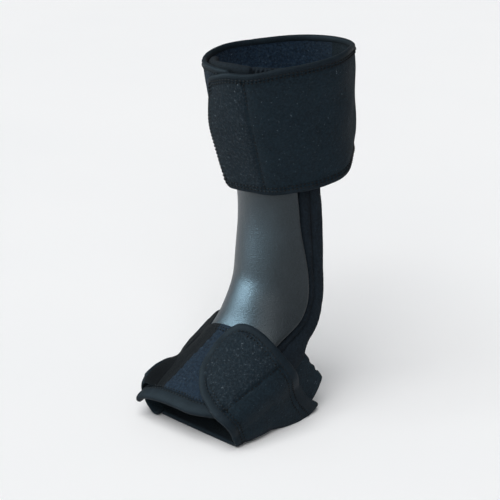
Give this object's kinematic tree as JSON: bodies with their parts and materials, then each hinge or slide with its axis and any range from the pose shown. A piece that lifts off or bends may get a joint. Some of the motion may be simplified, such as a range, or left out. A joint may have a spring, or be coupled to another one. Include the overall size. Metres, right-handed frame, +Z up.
{
  "type": "ankle foot orthosis",
  "caption": "dorsal night splint for a left ankle: a moulded front shell on a padded liner, held by a wide calf wrap and a foot wrap with hook-and-loop tabs",
  "frame": {"origin": "on the flat underside of the foot wrap's sole panel, near its middle", "axes": "+Z up along the shin, toes towards -Y, outer (lateral) side of the left foot towards +X"},
  "size_m": [0.1421, 0.2016, 0.3415],
  "materials": {
    "shell": "satin dark grey moulded plastic",
    "liner": "knit over foam padding",
    "wrap": "brushed laminate, matte",
    "loop": "fuzzy loop pile",
    "binding": "stretch binding tape, matte",
    "hook": "moulded hook tape"
  },
  "bodies": {
    "splint": {"dorsal_shell": "shell", "hook_strip_upper_shin": "hook", "hook_strip_lower_shin": "hook", "hook_strip_instep": "hook", "liner_pad": "liner", "liner_margin_lateral": "liner", "liner_roll_lateral": "liner", "liner_margin_medial": "liner", "liner_roll_medial": "liner", "liner_collar": "liner", "collar_gusset": "liner", "calf_wing": "loop", "calf_wing_top_edging": "binding", "calf_wing_bottom_edging": "binding", "foot_loop_panel": "loop", "toe_edging": "binding", "foot_lateral_wing": "wrap", "foot_medial_wing": "wrap", "foot_medial_wing_edging": "binding", "foot_sole": "wrap", "foot_sole_back_edging": "binding", "foot_sole_front_edging": "binding"},
    "calf_rear": {"calf_back": "wrap", "calf_back_top_edging": "binding", "calf_back_bottom_edging": "binding"},
    "calf_front": {"calf_flap": "wrap", "calf_flap_top_edging": "binding", "calf_flap_bottom_edging": "binding"},
    "calf_end": {"calf_tab": "wrap", "calf_tab_hook": "hook", "calf_tab_edging": "binding"},
    "foot_side": {"foot_flap": "wrap", "foot_flap_back_edging": "binding", "foot_flap_front_edging": "binding"},
    "foot_end": {"foot_tab": "wrap", "foot_tab_hook": "hook", "foot_tab_edging": "binding"}
  },
  "joints": [
    {"name": "calf_rear_open", "type": "hinge", "parent": "splint", "child": "calf_rear", "pos_m": [-0.05887, 0.07669, 0.27714], "axis": [-0.0959, -0.1401, 0.9855], "range_deg": [0, 46]},
    {"name": "calf_flap_open", "type": "hinge", "parent": "calf_rear", "child": "calf_front", "pos_m": [0.06227, 0.07053, 0.28386], "axis": [0.0973, -0.1503, 0.9838], "range_deg": [0, 108]},
    {"name": "calf_tab_peel", "type": "hinge", "parent": "calf_front", "child": "calf_end", "pos_m": [0.02166, -0.00701, 0.26837], "axis": [0.0296, -0.27, 0.9624], "range_deg": [0, 68]},
    {"name": "foot_flap_open", "type": "hinge", "parent": "splint", "child": "foot_side", "pos_m": [0.04302, 0.00008, 0], "axis": [-0.0533, 0.9986, 0], "range_deg": [0, 75]},
    {"name": "foot_tab_peel", "type": "hinge", "parent": "foot_side", "child": "foot_end", "pos_m": [0.05266, -0.02708, 0.05683], "axis": [0.0476, 0.9104, 0.411], "range_deg": [0, 68]}
  ],
  "couplings": [
    {"joint": "calf_rear_open", "follows": "calf_flap_open", "ratio": 0.42}
  ]
}
